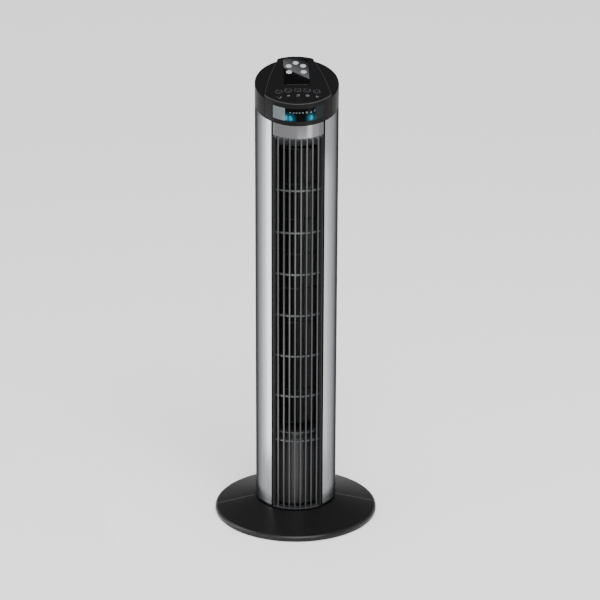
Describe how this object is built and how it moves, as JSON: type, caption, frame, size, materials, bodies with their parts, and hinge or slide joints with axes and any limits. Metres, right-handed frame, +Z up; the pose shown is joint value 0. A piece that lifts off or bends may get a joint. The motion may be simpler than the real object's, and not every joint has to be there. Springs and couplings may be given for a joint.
{
  "type": "tower fan",
  "caption": "Tower fan: slender round column on a low two-part disc base, finned front outlet, silver side panels, sloping display head with a docked remote.",
  "frame": {"origin": "on the floor, at the centre of the base", "axes": "+Z up, the air outlet faces -Y, +X to the right seen from the front"},
  "size_m": [0.297, 0.2969, 0.8371],
  "materials": {
    "satin_black_plastic": "satin",
    "gloss_black_plastic": "gloss",
    "silver_paint": "satin metallic",
    "grille_plastic": "satin",
    "inner_black_plastic": "matte",
    "brushed_plate": "brushed across",
    "smoked_window": "gloss",
    "black_rubber": "matte",
    "natural_acetal": "satin",
    "zinc_steel": "zinc plated",
    "lamination_steel": "varnished",
    "cast_aluminium": "as cast",
    "winding_copper": "enamelled",
    "sintered_bronze": "matt",
    "circuit_board": "solder resist",
    "silver_key": "satin metallic"
  },
  "bodies": {
    "base": {"base_front": "satin_black_plastic", "base_rear": "satin_black_plastic", "base_feet": "black_rubber", "cord_gland": "inner_black_plastic", "neck_hub": "inner_black_plastic", "neck_screws": "zinc_steel", "neck_cap": "natural_acetal", "glide_ring": "natural_acetal", "sector_gear": "natural_acetal"},
    "column": {"turntable": "satin_black_plastic", "swing_motor": "zinc_steel", "rear_housing": "satin_black_plastic", "housing_screws": "zinc_steel", "side_panel_left": "silver_paint", "side_panel_right": "silver_paint", "grille": "grille_plastic", "badge_plate": "brushed_plate", "motor_plate": "inner_black_plastic", "motor_cover": "inner_black_plastic", "bearing_plate": "inner_black_plastic", "bush_damper": "black_rubber", "upper_bush": "sintered_bronze", "air_guide": "inner_black_plastic", "air_tongue": "inner_black_plastic", "motor_stator": "lamination_steel", "motor_windings": "winding_copper", "motor_end_bells": "cast_aluminium", "motor_dampers": "black_rubber", "motor_screws": "zinc_steel", "cap_ring": "gloss_black_plastic", "control_panel": "gloss_black_plastic", "display_window": "smoked_window", "display_module": "circuit_board", "control_board": "circuit_board", "small_screws": "zinc_steel", "tact_switches": "circuit_board", "power_board": "circuit_board", "wiring_loom": "black_rubber"},
    "blower": {"blower_wheel": "inner_black_plastic", "blower_hub": "cast_aluminium", "hub_screw": "zinc_steel", "blower_top_end": "zinc_steel", "motor_rotor": "cast_aluminium", "motor_shaft": "zinc_steel"},
    "swing_pinion": {"swing_pinion": "natural_acetal"},
    "remote": {"remote_case": "gloss_black_plastic", "remote_face": "gloss_black_plastic", "remote_board": "circuit_board", "remote_tray": "gloss_black_plastic", "remote_cell": "zinc_steel"},
    "button_swing": {"button_swing": "gloss_black_plastic"},
    "button_ion": {"button_ion": "gloss_black_plastic"},
    "button_power": {"button_power": "gloss_black_plastic"},
    "button_timer": {"button_timer": "gloss_black_plastic"},
    "button_speed": {"button_speed": "gloss_black_plastic"},
    "remote_key_power": {"remote_key_power": "silver_key"},
    "remote_key_swing": {"remote_key_swing": "silver_key"},
    "remote_key_timer": {"remote_key_timer": "silver_key"},
    "remote_key_mode": {"remote_key_mode": "silver_key"},
    "remote_key_speed": {"remote_key_speed": "silver_key"}
  },
  "joints": [
    {"name": "column_swing", "type": "hinge", "parent": "base", "child": "column", "pos_m": [0, 0, 0.0285], "axis": [0, 0, 1], "range_deg": [-40, 40]},
    {"name": "blower_spin", "type": "hinge", "parent": "column", "child": "blower", "pos_m": [0, 0.004, 0.186], "axis": [0, 0, 1], "continuous": true},
    {"name": "pinion_spin", "type": "hinge", "parent": "column", "child": "swing_pinion", "pos_m": [0, 0.0341, 0.042], "axis": [0, 0, 1], "range_deg": [-122, 122]},
    {"name": "press_swing", "type": "slide", "parent": "column", "child": "button_swing", "axis": [0, 0.3128, -0.9498], "range_m": [0, 0.0007], "stiffness_N_per_m": 1500},
    {"name": "press_ion", "type": "slide", "parent": "column", "child": "button_ion", "axis": [0, 0.3128, -0.9498], "range_m": [0, 0.0007], "stiffness_N_per_m": 1500},
    {"name": "press_power", "type": "slide", "parent": "column", "child": "button_power", "axis": [0, 0.3128, -0.9498], "range_m": [0, 0.0007], "stiffness_N_per_m": 1500},
    {"name": "press_timer", "type": "slide", "parent": "column", "child": "button_timer", "axis": [0, 0.3128, -0.9498], "range_m": [0, 0.0007], "stiffness_N_per_m": 1500},
    {"name": "press_speed", "type": "slide", "parent": "column", "child": "button_speed", "axis": [0, 0.3128, -0.9498], "range_m": [0, 0.0007], "stiffness_N_per_m": 1500},
    {"name": "remote_lift", "type": "slide", "parent": "column", "child": "remote", "axis": [0, -0.3128, 0.9498], "range_m": [0, 0.06]},
    {"name": "press_remote_power", "type": "slide", "parent": "remote", "child": "remote_key_power", "axis": [0, 0.3128, -0.9498], "range_m": [0, 0.0004], "stiffness_N_per_m": 1500},
    {"name": "press_remote_swing", "type": "slide", "parent": "remote", "child": "remote_key_swing", "axis": [0, 0.3128, -0.9498], "range_m": [0, 0.0004], "stiffness_N_per_m": 1500},
    {"name": "press_remote_timer", "type": "slide", "parent": "remote", "child": "remote_key_timer", "axis": [0, 0.3128, -0.9498], "range_m": [0, 0.0004], "stiffness_N_per_m": 1500},
    {"name": "press_remote_mode", "type": "slide", "parent": "remote", "child": "remote_key_mode", "axis": [0, 0.3128, -0.9498], "range_m": [0, 0.0004], "stiffness_N_per_m": 1500},
    {"name": "press_remote_speed", "type": "slide", "parent": "remote", "child": "remote_key_speed", "axis": [0, 0.3128, -0.9498], "range_m": [0, 0.0004], "stiffness_N_per_m": 1500}
  ],
  "couplings": [
    {"joint": "pinion_spin", "follows": "column_swing", "ratio": 3}
  ]
}
